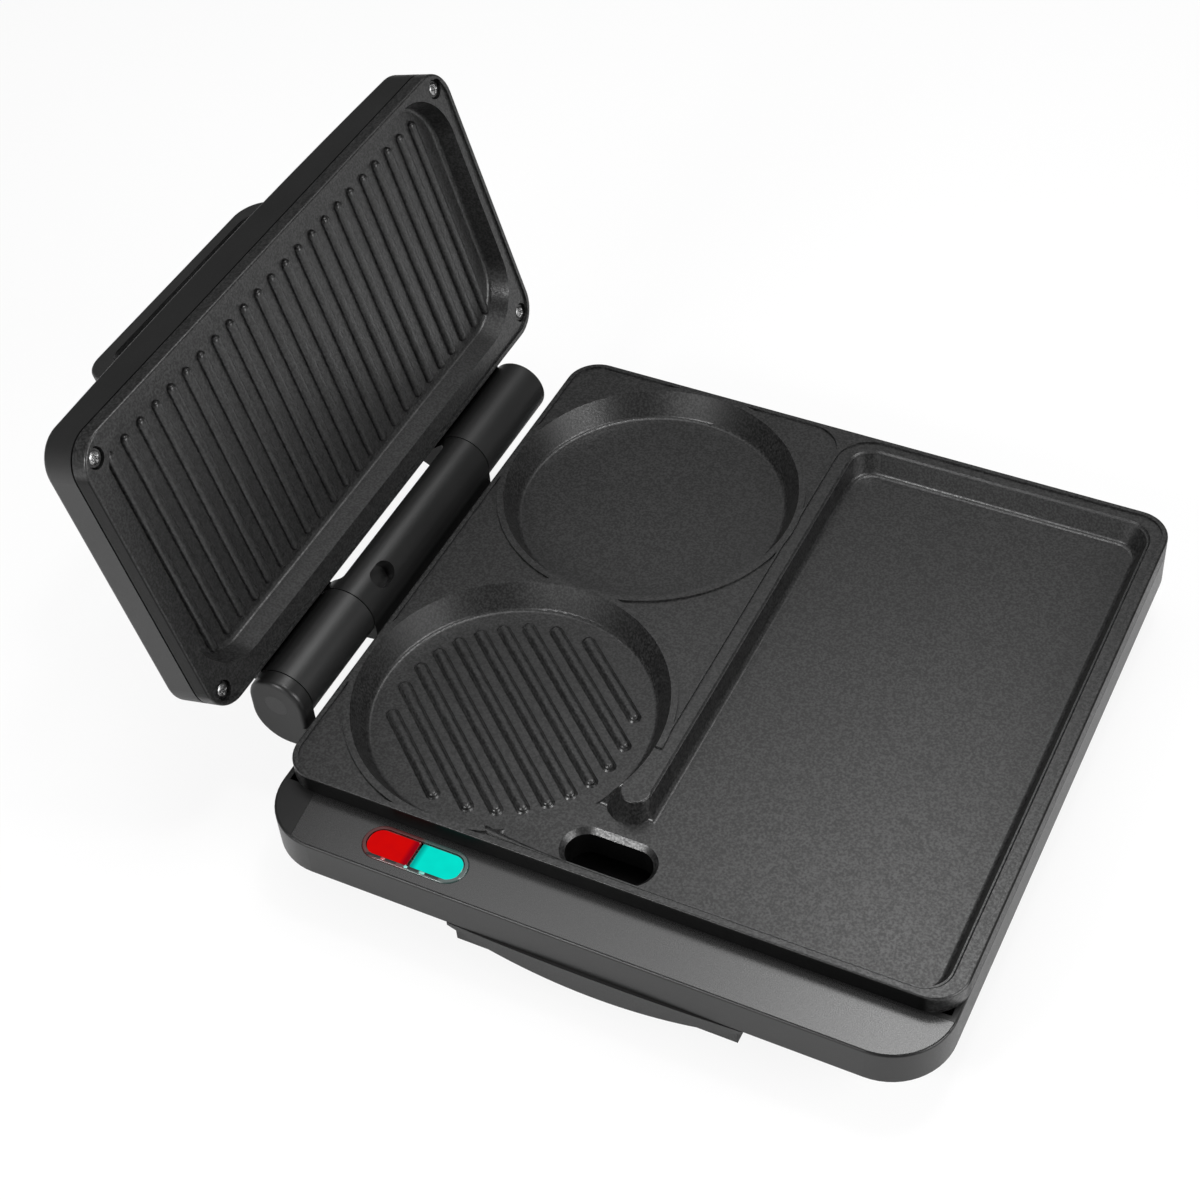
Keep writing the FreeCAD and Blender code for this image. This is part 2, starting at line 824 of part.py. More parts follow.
def thermal_fuse():
    half = fuse_length / 2
    return rod_along_x(block_y(), tab_level(), fuse_x - half, fuse_x + half, fuse_radius)


def terminal_block():
    half = block_depth / 2
    return box(block_x, block_y() - half, tub_bottom, block_x + block_length, block_y() + half,
               tub_bottom + block_height)


def block_screws():
    top = tub_bottom + block_height
    pieces = []
    for x in (block_x + block_length / 4, block_x + 3 * block_length / 4):
        for y in (block_y() - block_depth / 4, block_y() + block_depth / 4):
            pieces.append(rod(x, y, top, top + small_head_height, small_head_radius))
    return Part.makeCompound(pieces)


def base_leads():
    first = plate_middle - pin_end_offset()
    second = plate_middle + pin_end_offset()
    x = heater_inset
    deep = tub_bottom + block_height / 2
    inner = tub_inset + tub_wall + cover_boss_inset + cover_boss_radius + 2 * lead_radius
    outer = inner + 4 * lead_radius
    lamp_low = tub_bottom + 2 * lead_radius
    level = tab_level()
    run_y = block_y()
    tab = tab_spread + tab_thickness / 2 + seat
    far = thermostat_x + vent_length / 2
    lamp_x = window_x - window_length / 4
    back_of_lamps = window_y + window_width / 2 - lamp_box_wall / 2 + seat
    lamp_z = lamp_box_bottom() + lamp_box_height / 2
    paths = [
        [(x, first, heater_z), (x, first, deep), (outer, first, deep), (outer, run_y, deep),
         (block_x - seat, run_y, deep)],
        [(x, second, heater_z), (x, second, level), (thermostat_x - tab, second, level)],
        [(thermostat_x + tab, second, level), (far, second, level), (far, run_y, level),
         (fuse_x + fuse_length / 2 + seat, run_y, level)],
        [(fuse_x - fuse_length / 2 - seat, run_y, level), (block_x + block_length + seat, run_y, level)],
        [(block_x - seat, run_y - block_depth / 3, lamp_low), (inner, run_y - block_depth / 3, lamp_low),
         (inner, plate_wall, lamp_low), (lamp_x, plate_wall, lamp_low), (lamp_x, plate_wall, lamp_z),
         (lamp_x, back_of_lamps, lamp_z)],
    ]
    return Part.makeCompound([tube(path, lead_radius, lead_bend) for path in paths])


def cord_inlet():
    y = plate_depth - tub_inset
    z = inlet_level()
    collar = rod_along_y(inlet_x, z, y, y + inlet_collar, inlet_flange)
    neck = rod_along_y(inlet_x, z, y - tub_wall, y, inlet_radius)
    inner = rod_along_y(inlet_x, z, y - tub_wall - inlet_collar / 2, y - tub_wall, inlet_flange)
    bore = rod_along_y(inlet_x, z, y - 2 * inlet_collar, y + 2 * inlet_collar, inlet_bore)
    return fused([collar, neck, inner]).cut(bore)


def clamp_y():
    return plate_depth - tub_inset - tub_wall - clamp_setback - clamp_depth / 2


def cord_clamp():
    half = clamp_length / 2
    y = clamp_y()
    body = box(inlet_x - half, y - clamp_depth / 2, tub_bottom, inlet_x + half, y + clamp_depth / 2,
               tub_bottom + clamp_height)
    body = body.cut(rod_along_y(inlet_x, inlet_level(), y - clamp_depth, y + clamp_depth, inlet_bore))
    for x in clamp_screw_x():
        body = body.cut(rod(x, y, tub_bottom + over, tub_bottom + clamp_height + over,
                            small_shank_radius + screw_play))
    return body


def clamp_screw_x():
    arm = (clamp_length / 2 + inlet_bore) / 2
    return (inlet_x - arm, inlet_x + arm)


def clamp_screws():
    top = tub_bottom + clamp_height
    return Part.makeCompound([screw(x, clamp_y(), top, tub_bottom + 2 * over, small_head_radius,
                                    small_head_height, small_shank_radius) for x in clamp_screw_x()])


def rail_top():
    return wall_bottom - tray_top_drop - tray_wall - slide_play


def tray_rails():
    front = rail_setback + tub_inset - deck_depth
    rails = []
    for wall, sign in ((bay_left, 1), (bay_right, -1)):
        shelf_end = wall + sign * rail_width
        leg_end = wall + sign * rail_thickness
        shelf = box(min(wall, shelf_end), front, rail_top() - rail_thickness, max(wall, shelf_end),
                    front + rail_length, rail_top())
        leg = box(min(wall, leg_end), front, rail_top() - rail_leg, max(wall, leg_end), front + rail_length,
                  rail_top())
        rails.append(shelf.fuse(leg).removeSplitter())
    rails = Part.makeCompound(rails)
    for shape in rail_screw_bodies(screw_play):
        rails = rails.cut(shape)
    return rails


def rail_screw_bodies(play):
    front = rail_setback + tub_inset - deck_depth
    z = rail_top() - (rail_leg + rail_thickness) / 2
    pieces = []
    for wall, sign in ((bay_left, 1), (bay_right, -1)):
        for y in (front + rail_length / 4, front + 3 * rail_length / 4):
            inside = wall - sign * tub_wall
            tip = wall + sign * rail_thickness
            head = inside - sign * small_head_height
            shank = rod_along_x(y, z, min(inside, tip), max(inside, tip), small_shank_radius + play)
            cap = rod_along_x(y, z, min(inside, head), max(inside, head), small_head_radius)
            pieces.append(shank.fuse(cap).removeSplitter())
    return pieces


def drip_tray():
    half = tray_front_width / 2
    top = wall_bottom - tray_drop
    end = top - tray_front_end
    low = end - tray_front_sag
    back = tray_front_thickness - deck_depth
    sides = Part.Wire([
        Part.LineSegment(V(tray_x - half, 0, top), V(tray_x + half, 0, top)).toShape(),
        Part.LineSegment(V(tray_x + half, 0, top), V(tray_x + half, 0, end)).toShape(),
        Part.Arc(V(tray_x + half, 0, end), V(tray_x, 0, low), V(tray_x - half, 0, end)).toShape(),
        Part.LineSegment(V(tray_x - half, 0, end), V(tray_x - half, 0, top)).toShape(),
    ])
    upright = Part.Face(sides).extrude(V(0, -2 * deck_depth, 0))
    plan = Part.Wire([
        Part.LineSegment(V(tray_x - half, back, 0), V(tray_x - half, -deck_depth, 0)).toShape(),
        Part.Arc(V(tray_x - half, -deck_depth, 0), V(tray_x, -deck_depth - tray_bow, 0),
                 V(tray_x + half, -deck_depth, 0)).toShape(),
        Part.LineSegment(V(tray_x + half, -deck_depth, 0), V(tray_x + half, back, 0)).toShape(),
        Part.LineSegment(V(tray_x + half, back, 0), V(tray_x - half, back, 0)).toShape(),
    ])
    front = upright.common(prism(plan, low - over, top + over))
    brim = wall_bottom - tray_top_drop
    x0 = bay_left + rail_width + slide_play
    x1 = bay_right - rail_width - slide_play
    y1 = back + tray_depth
    r = 2 * tray_wall
    floor = brim - tray_height
    pan = slab(x0, back - over, x1, y1, floor, brim, seat, seat, r, r)
    flange = box(x0 - flange_overlap, back, brim - tray_wall, x1 + flange_overlap, y1, brim)
    w = tray_wall
    inside = slab(x0 + w, back + w, x1 - w, y1 - w, floor + w, brim + over, r - w / 2)
    return fused([front, pan, flange]).cut(inside)


def hinge_pin():
    return rod_along_y(axis_x, axis_z, hinge_front + pin_end_wall + seat, hinge_rear - pin_end_wall - seat,
                       pin_radius)


def hinge_cap():
    return rod_along_y(axis_x, axis_z, hinge_front, hinge_front + pin_end_wall, cap_radius - seat / 2)


def crown(drop):
    radius = (plate_middle ** 2 + lid_crown ** 2) / (2 * lid_crown)
    top = lid_edge_top + lid_crown - drop
    return rod_along_x(plate_middle, top - radius, -hinge_offset, 2 * pad_width, radius)


def lid_outline(inset):
    return rounded(inset, inset, pad_width - inset, plate_depth - inset, plate_corner - inset)


def lid_corners():
    i = lid_screw_inset
    return [(x, y) for x in (i, pad_width - i) for y in (i, plate_depth - i)]


def recess(grow, drop):
    x0 = recess_hinge_rim - grow
    x1 = pad_width - recess_far_rim + grow
    y0 = recess_side_rim - grow
    y1 = plate_depth - y0
    r = recess_corner + grow
    d = recess_draft
    rim = rounded(x0, y0, x1, y1, r)
    floor = rounded(x0 + recess_hinge_draft, y0 + d, x1 - d, y1 - d, r - d)
    z = lid_rim + recess_depth + drop
    return soften(loft(rim, lid_rim, floor, z), z, pocket_round)


def lid_ribs():
    z = lid_rim + recess_depth
    ribs = []
    for i in range(lid_rib_count):
        y = plate_middle + (i - (lid_rib_count - 1) / 2) * lid_rib_pitch
        bar = prism(capsule(pad_width / 2, y, lid_rib_length, lid_rib_width), z - lid_rib_height, z + over)
        ribs.append(soften(bar, z - lid_rib_height, rib_round))
    return ribs


def lid_plate():
    w = plate_wall
    back = lid_rim + lid_skirt
    block = soften(prism(lid_outline(0), lid_rim, back), lid_rim, plate_round)
    hollow = prism(lid_outline(w), lid_rim + lip_height + w, back + over)
    bosses = [rod(x, y, lid_rim + w, lid_rim + lid_skirt, lid_boss_radius).common(block)
              for x, y in lid_corners()]
    pan = recess(w, w).common(prism(lid_outline(lid_wall + 2 * seat), 0, lid_height))
    for x, y in lid_corners():
        pan = pan.cut(rod(x, y, back, lid_height, boss_radius + 2 * seat))
    body = fused([block.cut(hollow), pan] + bosses).cut(recess(0, 0))
    step = prism(lid_outline(lip_width), lid_rim - over, lid_rim + lip_height)
    body = fused([body.cut(step)] + lid_ribs())
    for x, y in lid_corners():
        body = body.cut(rod(x, y, lid_rim - over, lid_rim + lid_pocket_depth, lid_pocket_radius))
        body = body.cut(rod(x, y, lid_rim, lid_rim + lid_height, shank_radius + screw_play))
    return body


def lid_screws():
    return Part.makeCompound([screw(x, y, lid_rim + lid_pocket_depth - seat,
                                    lid_rim + lid_skirt + screw_grip - over, head_radius, head_height,
                                    shank_radius) for x, y in lid_corners()])


def knuckle_spans():
    return [(hinge_front + ear_length + knuckle_gap, middle_front - knuckle_gap),
            (middle_rear + knuckle_gap, hinge_rear)]


def knuckle(y0, y1):
    barrel = rod_along_y(axis_x, axis_z, y0, y1, barrel_radius)
    if y1 == hinge_rear:
        barrel = soften_end(barrel, y1, axis_x, knuckle_round)
    arm = box(axis_x, y0, lid_shell_rim, lid_wall / 2, y1 - knuckle_round, axis_z + barrel_radius)
    return barrel.fuse(arm)


def lid_shell_block(inset, drop, z0):
    high = lid_edge_top + 2 * lid_crown
    return prism(lid_outline(inset), z0, high).common(crown(drop))


def handle_screw_spots():
    reach = handle_length / 2 - handle_post / 2
    x = handle_far_side - handle_width / 2
    return [(x, plate_middle - reach), (x, plate_middle + reach)]


def lid_shell():
    outer = lid_shell_block(0, 0, lid_shell_rim)
    top_face = max(outer.Faces, key=lambda f: f.CenterOfMass.z)
    outer = outer.makeFillet(lid_round, top_face.Edges)
    body = outer.cut(lid_shell_block(lid_wall, lid_wall, lid_shell_rim - over))
    low = lid_rim + lid_skirt + seat
    limit = lid_shell_block(lid_wall / 2, lid_wall / 2, 0)
    posts = [rod(x, y, low, lid_edge_top + lid_crown, boss_radius).common(limit) for x, y in lid_corners()]
    body = fused([body] + posts + [knuckle(y0, y1) for y0, y1 in knuckle_spans()])
    for x, y in lid_corners():
        body = body.cut(rod(x, y, low - over, low + screw_grip, shank_radius + screw_play))
    for x, y in handle_screw_spots():
        body = body.cut(rod(x, y, lid_shell_rim, lid_edge_top + 2 * lid_crown, shank_radius + screw_play))
    return body.cut(pin_bore())


def handle():
    y0 = plate_middle - handle_length / 2
    y1 = plate_middle + handle_length / 2
    top = lid_rim + handle_rise
    x0 = handle_far_side - handle_width
    loop = upright_slab(x0, handle_far_side, y0, y1, lid_shell_rim, top, handle_corner)
    side_edges = [e for f in loop.Faces for e in f.Edges
                  if abs(f.CenterOfMass.x - x0) < seat or abs(f.CenterOfMass.x - handle_far_side) < seat]
    loop = loop.makeFillet(handle_round, side_edges)
    gap = upright_slab(x0 - over, handle_far_side + over, y0 + handle_post, y1 - handle_post, -lid_height,
                       top - handle_bar, handle_inner_corner)
    body = loop.cut(gap).cut(crown(0))
    for x, y in handle_screw_spots():
        body = body.cut(rod(x, y, 0, lid_edge_top + lid_crown + screw_grip, shank_radius + screw_play))
    return body


def upright_slab(x0, x1, y0, y1, z0, z1, corner):
    shape = slab(y0, z0, y1, z1, x0, x1, corner)
    shape.rotate(V(0, 0, 0), V(1, 1, 1), 120)
    return shape


def crown_height(y):
    share = (y - plate_middle) / plate_middle
    return lid_edge_top + lid_crown * (1 - share ** 2)


def handle_screws():
    pieces = []
    for x, y in handle_screw_spots():
        inner = crown_height(y) - lid_wall - screw_play
        pieces.append(screw(x, y, inner, crown_height(y) + screw_grip - over, small_head_radius,
                            small_head_height, shank_radius))
    return Part.makeCompound(pieces)


def lid_heater():
    path = heater_path(lid_heater_x(), pad_width - lid_heater_x(), heater_inset, plate_depth - heater_inset,
                       plate_middle, lid_heater_z)
    return tube(path, lid_heater_radius, heater_bend)


def lid_heater_x():
    return heater_inset / 2 + heater_radius


def lid_reflector():
    low = lid_heater_z + lid_heater_radius + seat
    m = heater_inset - heater_bend / 2
    x = lid_heater_x() - heater_bend / 2
    sheet = slab(x, m, pad_width - x, plate_depth - m, low, low + reflector_thickness, heater_bend / 2)
    return sheet


def lid_leads():
    x = lid_heater_x()
    exit_y = hinge_rear - barrel_radius
    paths = []
    for sign, lane in ((-1, 0), (1, 1)):
        y = plate_middle + sign * pin_end_offset()
        lane_x = lid_wall + 2 * lead_bend - lane * 3 * lead_radius
        paths.append([(x, y, lid_heater_z), (lane_x, y, lid_heater_z),
                      (lane_x, exit_y - lane * 4 * lead_radius, lid_heater_z)])
    return Part.makeCompound([tube(path, lead_radius, lead_bend) for path in paths])


base_pieces = {
    "base_housing": base_housing,
    "bottom_cover": bottom_cover,
    "cover_screws": cover_screws,
    "feet": feet,
    "cooking_plate": cooking_plate,
    "plate_screws": plate_screws,
    "front_panel": front_panel,
    "lens_bezel": lens_bezel,
    "red_lens": lambda: lens(-1),
    "green_lens": lambda: lens(1),
    "lamp_holder": lamp_holder,
    "red_lamp": lambda: lamp(-1),
    "green_lamp": lambda: lamp(1),
    "base_heater": base_heater,
    "heater_terminals": lambda: terminals(heater_inset, plate_middle, heater_z),
    "base_reflector": base_reflector,
    "thermostat": thermostat,
    "thermal_fuse": thermal_fuse,
    "terminal_block": terminal_block,
    "block_screws": block_screws,
    "base_leads": base_leads,
    "cord_inlet": cord_inlet,
    "cord_clamp": cord_clamp,
    "clamp_screws": clamp_screws,
    "tray_rails": tray_rails,
    "rail_screws": lambda: Part.makeCompound(rail_screw_bodies(0)),
    "hinge_pin": hinge_pin,
    "hinge_cap": hinge_cap,
    "drip_tray": drip_tray,
}
lid_pieces = {
    "lid_shell": lid_shell,
    "lid_plate": lid_plate,
    "lid_screws": lid_screws,
    "lid_heater": lid_heater,
    "lid_terminals": lambda: terminals(lid_heater_x(), plate_middle, lid_heater_z),
    "lid_reflector": lid_reflector,
    "lid_leads": lid_leads,
    "handle": handle,
    "handle_screws": handle_screws,
}

shapes = {name: make() for name, make in base_pieces.items()}
shapes.update({name: swing(make()) for name, make in lid_pieces.items()})
whole = Part.makeCompound(list(shapes.values())).optimalBoundingBox(False)
shift = V(-whole.Center.x, -whole.Center.y, -whole.ZMin)
for name, shape in shapes.items():
    shape.translate(shift)
    shape.exportStep("parts/" + name + ".step")
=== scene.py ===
import bmesh
import bpy
import math
import numpy as np
from mathutils import Euler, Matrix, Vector


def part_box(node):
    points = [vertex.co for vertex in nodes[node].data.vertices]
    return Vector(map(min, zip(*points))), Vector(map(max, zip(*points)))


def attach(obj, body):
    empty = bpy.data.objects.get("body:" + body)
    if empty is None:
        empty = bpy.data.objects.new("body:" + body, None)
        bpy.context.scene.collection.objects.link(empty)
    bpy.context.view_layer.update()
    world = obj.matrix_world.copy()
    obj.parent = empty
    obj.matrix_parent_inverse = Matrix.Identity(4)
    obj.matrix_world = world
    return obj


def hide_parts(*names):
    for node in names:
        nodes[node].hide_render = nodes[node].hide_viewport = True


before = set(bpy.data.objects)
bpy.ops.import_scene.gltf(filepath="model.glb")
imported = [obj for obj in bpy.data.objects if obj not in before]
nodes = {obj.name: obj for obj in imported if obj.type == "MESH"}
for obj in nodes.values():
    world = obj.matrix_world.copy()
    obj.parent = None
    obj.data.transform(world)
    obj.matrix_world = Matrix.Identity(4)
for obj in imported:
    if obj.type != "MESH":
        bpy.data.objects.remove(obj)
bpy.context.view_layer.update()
print("frame loaded:", len(nodes), "nodes")


# node helpers
def addNode(tree, kind, inputs=None, **settings):
    node = tree.nodes.new(kind)
    for key, value in settings.items():
        setattr(node, key, value)
    for key, value in (inputs or {}).items():
        if isinstance(value, bpy.types.NodeSocket):
            tree.links.new(value, node.inputs[key])
        else:
            node.inputs[key].default_value = value
    return node


def newFinish(name, **sockets):
    material = bpy.data.materials.new(name)
    material.use_nodes = True
    tree = material.node_tree
    tree.nodes.clear()
    out = tree.nodes.new("ShaderNodeOutputMaterial")
    shader = addNode(tree, "ShaderNodeBsdfPrincipled", sockets)
    tree.links.new(shader.outputs["BSDF"], out.inputs["Surface"])
    return material, tree, shader


def grey(level):
    return (level, level, level, 1.0)


def coordsOf(tree):
    return addNode(tree, "ShaderNodeTexCoord").outputs["Object"]


def placeOf(tree, coords):
    return addNode(tree, "ShaderNodeSeparateXYZ", {"Vector": coords}).outputs


def mathOf(tree, operation, first, second):
    return addNode(tree, "ShaderNodeMath", {0: first, 1: second}, operation=operation).outputs[0]


# a mix of colours has its share at socket 0, its colours at 6 and 7 and its result at 2
def blendOf(tree, first, second, share, kind="MIX"):
    sockets = {6: first, 7: second, 0: share}
    return addNode(tree, "ShaderNodeMix", sockets, data_type="RGBA", blend_type=kind).outputs[2]


def grainOf(tree, coords, scale, detail=2.0):
    sockets = {"Vector": coords, "Scale": scale, "Detail": detail}
    return addNode(tree, "ShaderNodeTexNoise", sockets).outputs["Fac"]


def rampOf(tree, value, low, high, colourLow, colourHigh):
    ramp = addNode(tree, "ShaderNodeValToRGB", {"Fac": value})
    ramp.color_ramp.elements[0].position = low
    ramp.color_ramp.elements[0].color = colourLow
    ramp.color_ramp.elements[1].position = high
    ramp.color_ramp.elements[1].color = colourHigh
    return ramp.outputs["Color"]


def spread(tree, value, low, high, toLow, toHigh):
    sockets = {"Value": value, "From Min": low, "From Max": high, "To Min": toLow, "To Max": toHigh}
    return addNode(tree, "ShaderNodeMapRange", sockets).outputs["Result"]


def bumpOf(tree, height, strength, distance):
    sockets = {"Height": height, "Strength": strength, "Distance": distance}
    return addNode(tree, "ShaderNodeBump", sockets).outputs["Normal"]


# where most of a noise texture's values lie
noiseRange = (0.3, 0.7)

# cast plate under a speckled non-stick coat, smoother on its specks
coatLook = {"dark": 0.003, "light": 0.028, "speck": 1100.0, "speckRange": (0.38, 0.66),
            "cloud": 26.0, "cloudDark": 0.88, "rough": (0.42, 0.28), "bump": 0.40, "bumpDepth": 0.00007,
            # the throat span and its near-black colour are painted shade down the drain
            "throat": (0.0334, 0.0342), "throatShade": 0.0005,
            # the skirt bounds and their near-black colour are painted shade on the plate's outer sides
            "frontSkirt": (-0.1166, -0.1161), "rightSkirt": (0.1924, 0.1919), "skirtShade": 0.002,
            "specular": (0.12, 0.5)}


def coatFinish(name, look):
    material, tree, shader = newFinish(name)
    coords = coordsOf(tree)
    place = placeOf(tree, coords)
    speck = grainOf(tree, coords, look["speck"], detail=1.0)
    cloud = grainOf(tree, coords, look["cloud"], detail=3.0)
    fine = rampOf(tree, speck, *look["speckRange"], grey(look["dark"]), grey(look["light"]))
    wide = rampOf(tree, cloud, *noiseRange, grey(look["cloudDark"]), grey(1.0))
    coat = blendOf(tree, fine, wide, 1.0, "MULTIPLY")
    # painted shade: the drain throat below the floor is painted near black, standing in for the shade down
    # the slot
    throat = spread(tree, place["Z"], *look["throat"], 0.0, 1.0)
    coat = blendOf(tree, grey(look["throatShade"]), coat, throat)
    # painted shade: the plate's outer skirt is painted near black, standing in for the shade on its steep
    # sides, and given less specular
    front = spread(tree, place["Y"], *look["frontSkirt"], 0.0, 1.0)
    right = spread(tree, place["X"], *look["rightSkirt"], 0.0, 1.0)
    clearOfSkirtShade = mathOf(tree, "MINIMUM", front, right)
    coat = blendOf(tree, grey(look["skirtShade"]), coat, clearOfSkirtShade)
    tree.links.new(coat, shader.inputs["Base Color"])
    tree.links.new(spread(tree, clearOfSkirtShade, 0.0, 1.0, *look["specular"]), shader.inputs["Specular IOR Level"])
    tree.links.new(spread(tree, speck, *noiseRange, *look["rough"]), shader.inputs["Roughness"])
    tree.links.new(bumpOf(tree, speck, look["bump"], look["bumpDepth"]), shader.inputs["Normal"])
    return material


# satin moulded plastic with a spark-eroded grain
plasticShared = {"cloud": 18.0, "bumpDepth": 0.00003, "specular": 0.5}
plasticLooks = {
    "housing": {"dark": 0.006, "light": 0.010, "grain": 2600.0, "rough": (0.30, 0.40), "bump": 0.10,
                "specular": 0.36},
    "lidShell": {"dark": 0.008, "light": 0.012, "grain": 2600.0, "rough": (0.34, 0.46), "bump": 0.12,
                 "specular": 0.42},
    "barrelCap": {"dark": 0.008, "light": 0.012, "grain": 2600.0, "rough": (0.36, 0.48), "bump": 0.12},
    "grip": {"dark": 0.010, "light": 0.014, "grain": 1800.0, "rough": (0.40, 0.55), "bump": 0.20},
    "trim": {"dark": 0.008, "light": 0.012, "grain": 3200.0, "rough": (0.24, 0.32), "bump": 0.08,
             "specular": 0.85},
    "tray": {"dark": 0.009, "light": 0.013, "grain": 2200.0, "rough": (0.42, 0.55), "bump": 0.15},
    "underside": {"dark": 0.010, "light": 0.018, "grain": 900.0, "rough": (0.55, 0.70), "bump": 0.30},
    "heatProof": {"dark": 0.60, "light": 0.72, "grain": 1500.0, "rough": (0.45, 0.60), "bump": 0.15},
    # painted shade: the near-black colour of the clip slot blocks
    "slotShade": {"dark": 0.002, "light": 0.005, "grain": 1500.0, "rough": (0.45, 0.60), "bump": 0.10},
    "rubber": {"dark": 0.010, "light": 0.020, "grain": 1300.0, "rough": (0.70, 0.85), "bump": 0.25},
    "sleeve": {"dark": 0.45, "light": 0.60, "grain": 700.0, "rough": (0.55, 0.70), "bump": 0.20},
    "ceramic": {"dark": 0.66, "light": 0.80, "grain": 1100.0, "rough": (0.45, 0.60), "bump": 0.15},
}


def plasticFinish(name, ownLook):
    look = {**plasticShared, **ownLook}
    material, tree, shader = newFinish(name, **{"Specular IOR Level": look["specular"]})
    coords = coordsOf(tree)
    grain = grainOf(tree, coords, look["grain"])
    cloud = grainOf(tree, coords, look["cloud"], detail=3.0)
    colour = rampOf(tree, cloud, *noiseRange, grey(look["dark"]), grey(look["light"]))
    tree.links.new(colour, shader.inputs["Base Color"])
    tree.links.new(spread(tree, grain, *noiseRange, *look["rough"]), shader.inputs["Roughness"])
    tree.links.new(bumpOf(tree, grain, look["bump"], look["bumpDepth"]), shader.inputs["Normal"])
    return material


# metals: a fine grain, drawn out where the three numbers of its stretch differ
metalLooks = {
    "plated": {"dark": 0.42, "light": 0.60, "stretch": (400.0, 400.0, 4000.0), "rough": (0.25, 0.42)},
    "black": {"dark": 0.05, "light": 0.10, "stretch": (900.0, 900.0, 900.0), "rough": (0.22, 0.36)},
    "screwFace": {"dark": 0.22, "light": 0.34, "stretch": (900.0, 900.0, 900.0), "rough": (0.24, 0.38)},
    "sheath": {"dark": 0.16, "light": 0.28, "stretch": (300.0, 300.0, 300.0), "rough": (0.45, 0.65)},
    "bright": {"dark": 0.70, "light": 0.82, "stretch": (60.0, 2400.0, 60.0), "rough": (0.22, 0.36)},
    "brass": {"dark": 0.55, "light": 0.70, "stretch": (800.0, 800.0, 800.0), "rough": (0.25, 0.40)},
}
sheathTint = (1.0, 0.95, 0.9)
brassTint = (1.0, 0.80, 0.42)


def metalFinish(name, look, tint=(1.0, 1.0, 1.0)):
    material, tree, shader = newFinish(name, Metallic=1.0)
    sockets = {"Vector": coordsOf(tree), "Scale": look["stretch"]}
    drawn = addNode(tree, "ShaderNodeMapping", sockets).outputs["Vector"]
    streak = grainOf(tree, drawn, 1.0, detail=3.0)
    low = tuple(look["dark"] * t for t in tint) + (1.0,)
    high = tuple(look["light"] * t for t in tint) + (1.0,)
    tree.links.new(rampOf(tree, streak, *noiseRange, low, high), shader.inputs["Base Color"])
    tree.links.new(spread(tree, streak, *noiseRange, *look["rough"]), shader.inputs["Roughness"])
    return material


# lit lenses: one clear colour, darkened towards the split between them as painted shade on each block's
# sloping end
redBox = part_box("red_lens")
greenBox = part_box("green_lens")
lensShared = {"rough": 0.3, "base": 0.001, "glow": 1.0, "cloud": 220.0, "cloudShare": 0.12}
# painted shade: the band beside the split over which each lens's glow darkens to its deep colour
splitShadeBand = {"far": 0.0032, "near": 0.0012}
lensLooks = {
    "red": {"deep": (0.30, 0.0, 0.006, 1.0), "bright": (0.62, 0.0018, 0.0015, 1.0),
            "edge": (redBox[1][0] - splitShadeBand["far"], redBox[1][0] - splitShadeBand["near"])},
    "green": {"deep": (0.0, 0.36, 0.31, 1.0), "bright": (0.0006, 0.745, 0.61, 1.0),
              "edge": (greenBox[0][0] + splitShadeBand["far"], greenBox[0][0] + splitShadeBand["near"])},
}


def lensFinish(name, ownLook):
    look = {**lensShared, **ownLook}
    sockets = {"Roughness": look["rough"], "Specular IOR Level": 0.0, "Base Color": grey(look["base"]),
               "Emission Strength": look["glow"]}
    material, tree, shader = newFinish(name, **sockets)
    coords = coordsOf(tree)
    # painted shade: the glow darkens towards the split
    near = spread(tree, placeOf(tree, coords)["X"], *look["edge"], 0.0, 1.0)
    cloud = spread(tree, grainOf(tree, coords, look["cloud"]), *noiseRange, 0.0, look["cloudShare"])
    share = mathOf(tree, "MAXIMUM", near, cloud)
    colour = rampOf(tree, share, 0.0, 1.0, look["bright"], look["deep"])
    tree.links.new(colour, shader.inputs["Emission Color"])
    return material


# smoky clear surround of the window: reddish beside the red lens, greenish beside the other
surroundLook = {"red": (0.060, 0.013, 0.013, 1.0), "green": (0.030, 0.052, 0.048, 1.0),
                "split": (redBox[1][0] + greenBox[0][0]) / 2, "soft": 0.0012,
                "rough": 0.16, "specular": 0.5, "coat": 0.3, "coatRough": 0.08}


def clearSockets(look):
    return {"Roughness": look["rough"], "Specular IOR Level": look["specular"],
            "Coat Weight": look["coat"], "Coat Roughness": look["coatRough"]}


def surroundFinish(name, look):
    material, tree, shader = newFinish(name, **clearSockets(look))
    along = placeOf(tree, coordsOf(tree))["X"]
    share = spread(tree, along, look["split"] - look["soft"], look["split"] + look["soft"], 0.0, 1.0)
    colour = rampOf(tree, share, 0.0, 1.0, look["red"], look["green"])
    tree.links.new(colour, shader.inputs["Base Color"])
    return material


# smoky clear rim that holds a lens, and the paler clip lugs in front of it
rimShared = {"cloud": 340.0, "rough": 0.12, "specular": 0.5, "coat": 0.4, "coatRough": 0.06}
rimLooks = {
    "red": {"dark": (0.085, 0.018, 0.018, 1.0), "light": (0.17, 0.040, 0.040, 1.0)},
    "green": {"dark": (0.030, 0.075, 0.065, 1.0), "light": (0.065, 0.150, 0.130, 1.0)},
    "redLug": {"dark": (0.26, 0.030, 0.030, 1.0), "light": (0.36, 0.060, 0.060, 1.0)},
    "greenLug": {"dark": (0.10, 0.42, 0.36, 1.0), "light": (0.20, 0.56, 0.50, 1.0)},
}


def rimFinish(name, ownLook):
    look = {**rimShared, **ownLook}
    material, tree, shader = newFinish(name, **clearSockets(look))
    cloud = grainOf(tree, coordsOf(tree), look["cloud"])
    colour = rampOf(tree, cloud, *noiseRange, look["dark"], look["light"])
    tree.links.new(colour, shader.inputs["Base Color"])
    return material


# clear glass of the lamps under the window
glassLook = {"dark": (0.95, 0.75, 0.6, 1), "light": (1, 0.9, 0.8, 1), "cloud": 300.0,
             "rough": 0.05, "bend": 1.47}


